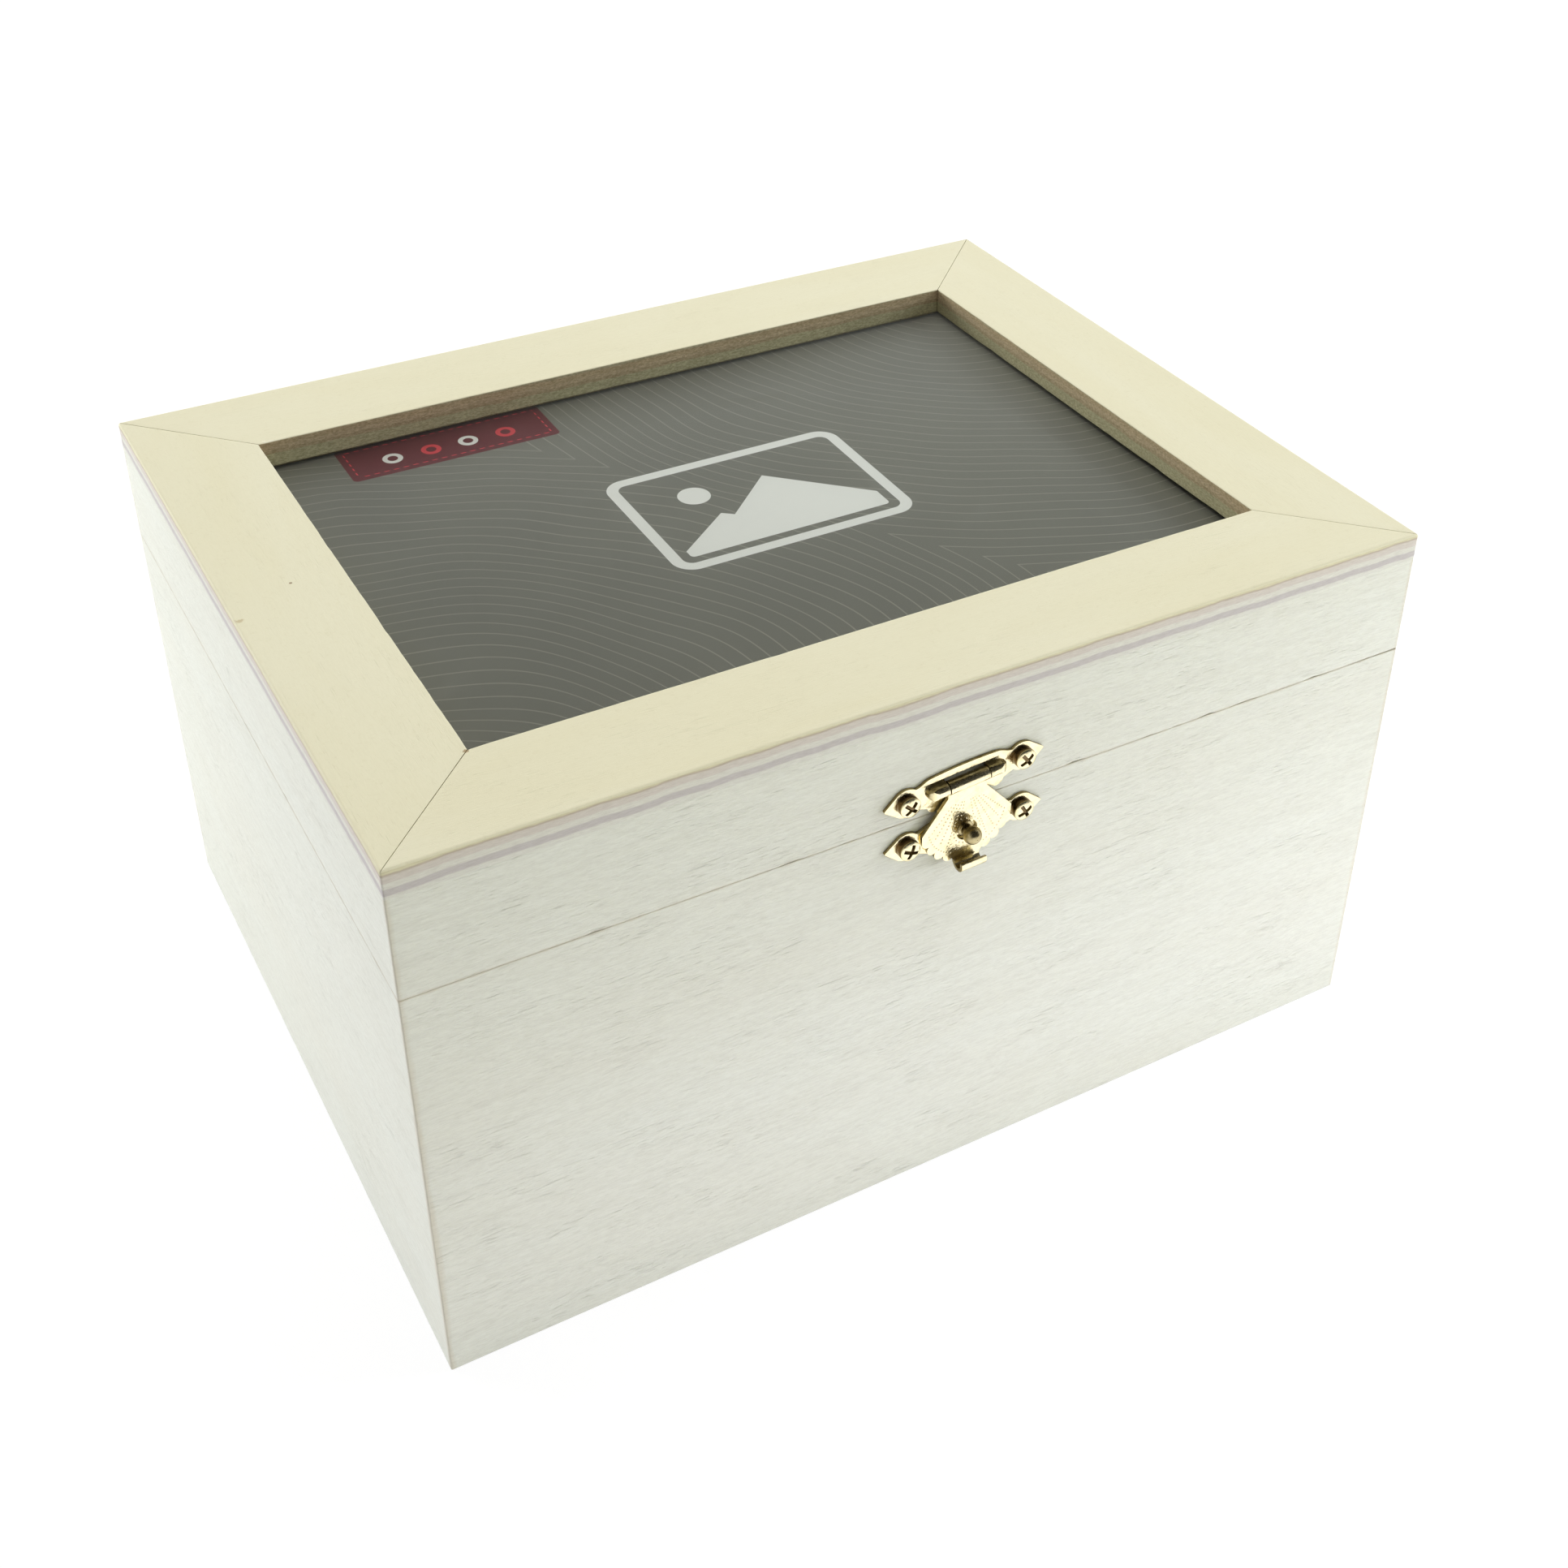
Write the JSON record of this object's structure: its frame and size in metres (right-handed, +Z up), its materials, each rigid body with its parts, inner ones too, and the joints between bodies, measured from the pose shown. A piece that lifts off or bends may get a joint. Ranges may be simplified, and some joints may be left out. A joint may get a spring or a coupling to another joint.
{
  "type": "photo storage box",
  "caption": "Hinged plywood keepsake box with a mitred picture frame lid, clear sheet and card, turn buttons inside, and a pressed brass hasp over a ball stud.",
  "frame": {"origin": "middle of the wooden box's underside", "axes": "+X to the right along the front, +Y from the front to the back, +Z up"},
  "size_m": [0.22, 0.1805, 0.125],
  "materials": {
    "wall_ply": "bare sanded plywood, pale grey white, fine grain",
    "floor_ply": "bare thin plywood",
    "frame_ply": "bare sanded plywood, creamy face veneer, layered edge",
    "strip_wood": "bare softwood strip",
    "hardboard": "brown hardboard, smooth face",
    "clear_sheet": "thin clear plastic sheet, glossy",
    "card": "printed card, satin dark grey with fine pale lines",
    "plated_steel": "zinc plated, satin",
    "brass": "bright plated pressed brass"
  },
  "bodies": {
    "base": {"base_front_wall": "wall_ply", "base_back_wall": "wall_ply", "base_left_wall": "wall_ply", "base_right_wall": "wall_ply", "base_floor": "floor_ply", "catch_plate": "brass", "catch_stud": "brass", "catch_plate_screws": "brass", "left_hinge_base_leaf": "brass", "right_hinge_base_leaf": "brass", "left_hinge_pin": "brass", "right_hinge_pin": "brass", "hinge_base_screws": "brass"},
    "lid": {"lid_front_wall": "wall_ply", "lid_back_wall": "wall_ply", "lid_left_wall": "wall_ply", "lid_right_wall": "wall_ply", "frame_front_rail": "frame_ply", "frame_back_rail": "frame_ply", "frame_left_rail": "frame_ply", "frame_right_rail": "frame_ply", "clear_pane": "clear_sheet", "picture_card": "card", "backing_board": "hardboard", "pocket_front_strip": "strip_wood", "pocket_back_strip": "strip_wood", "pocket_left_strip": "strip_wood", "pocket_right_strip": "strip_wood", "turn_button_screws": "plated_steel", "hasp_plate": "brass", "hasp_pin": "brass", "hasp_plate_screws": "brass", "left_hinge_lid_leaf": "brass", "right_hinge_lid_leaf": "brass", "hinge_lid_screws": "brass"},
    "hasp": {"hasp": "brass"},
    "button_front": {"turn_button_front": "plated_steel"},
    "button_back": {"turn_button_back": "plated_steel"},
    "button_left": {"turn_button_left": "plated_steel"},
    "button_right": {"turn_button_right": "plated_steel"}
  },
  "joints": [
    {"name": "lid_hinge", "type": "hinge", "parent": "base", "child": "lid", "pos_m": [0, 0.0876, 0.09685], "axis": [-1, 0, 0], "range_deg": [0, 180]},
    {"name": "hasp_hinge", "type": "hinge", "parent": "lid", "child": "hasp", "pos_m": [0.00096, -0.0876, 0.1033], "axis": [-0.9969, 0, -0.0785], "range_deg": [0, 160]},
    {"name": "button_front_turn", "type": "hinge", "parent": "lid", "child": "button_front", "pos_m": [0, -0.07, 0.11385], "axis": [0, 0, 1], "range_deg": [-90, 90]},
    {"name": "button_back_turn", "type": "hinge", "parent": "lid", "child": "button_back", "pos_m": [0, 0.07, 0.11385], "axis": [0, 0, 1], "range_deg": [-90, 90]},
    {"name": "button_left_turn", "type": "hinge", "parent": "lid", "child": "button_left", "pos_m": [-0.0955, 0, 0.11385], "axis": [0, 0, 1], "range_deg": [-90, 90]},
    {"name": "button_right_turn", "type": "hinge", "parent": "lid", "child": "button_right", "pos_m": [0.0955, 0, 0.11385], "axis": [0, 0, 1], "range_deg": [-90, 90]}
  ]
}
